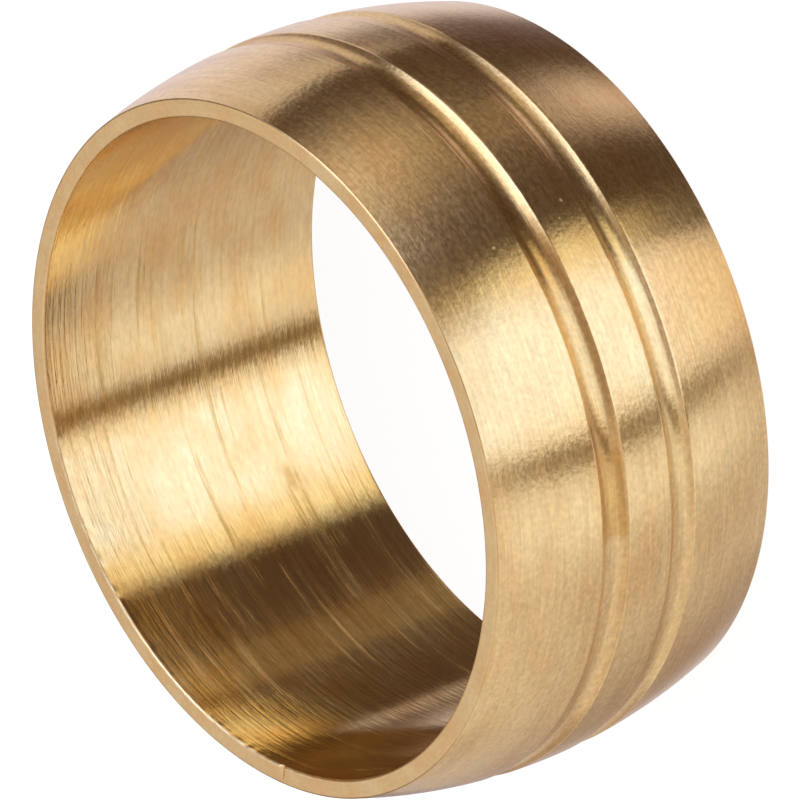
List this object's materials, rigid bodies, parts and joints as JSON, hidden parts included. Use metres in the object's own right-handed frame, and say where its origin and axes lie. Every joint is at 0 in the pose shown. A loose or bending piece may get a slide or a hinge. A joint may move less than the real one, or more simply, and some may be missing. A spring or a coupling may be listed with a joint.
{
  "type": "compression ring",
  "caption": "Short brass ring with a plain bore, flat end faces and a crowned outside with shallow turned grooves, for sealing a tube in a fitting.",
  "frame": {"origin": "middle of the lower end face, on the bore's axis", "axes": "+Z along the bore's axis, from the lower end face to the upper one; X and Y are any two directions square to it"},
  "size_m": [0.017, 0.017, 0.0077],
  "materials": {
    "brass": "turned brass, finely brushed round the ring, with a soft sheen"
  },
  "bodies": {
    "root": {"compression_ring": "brass"}
  },
  "joints": []
}
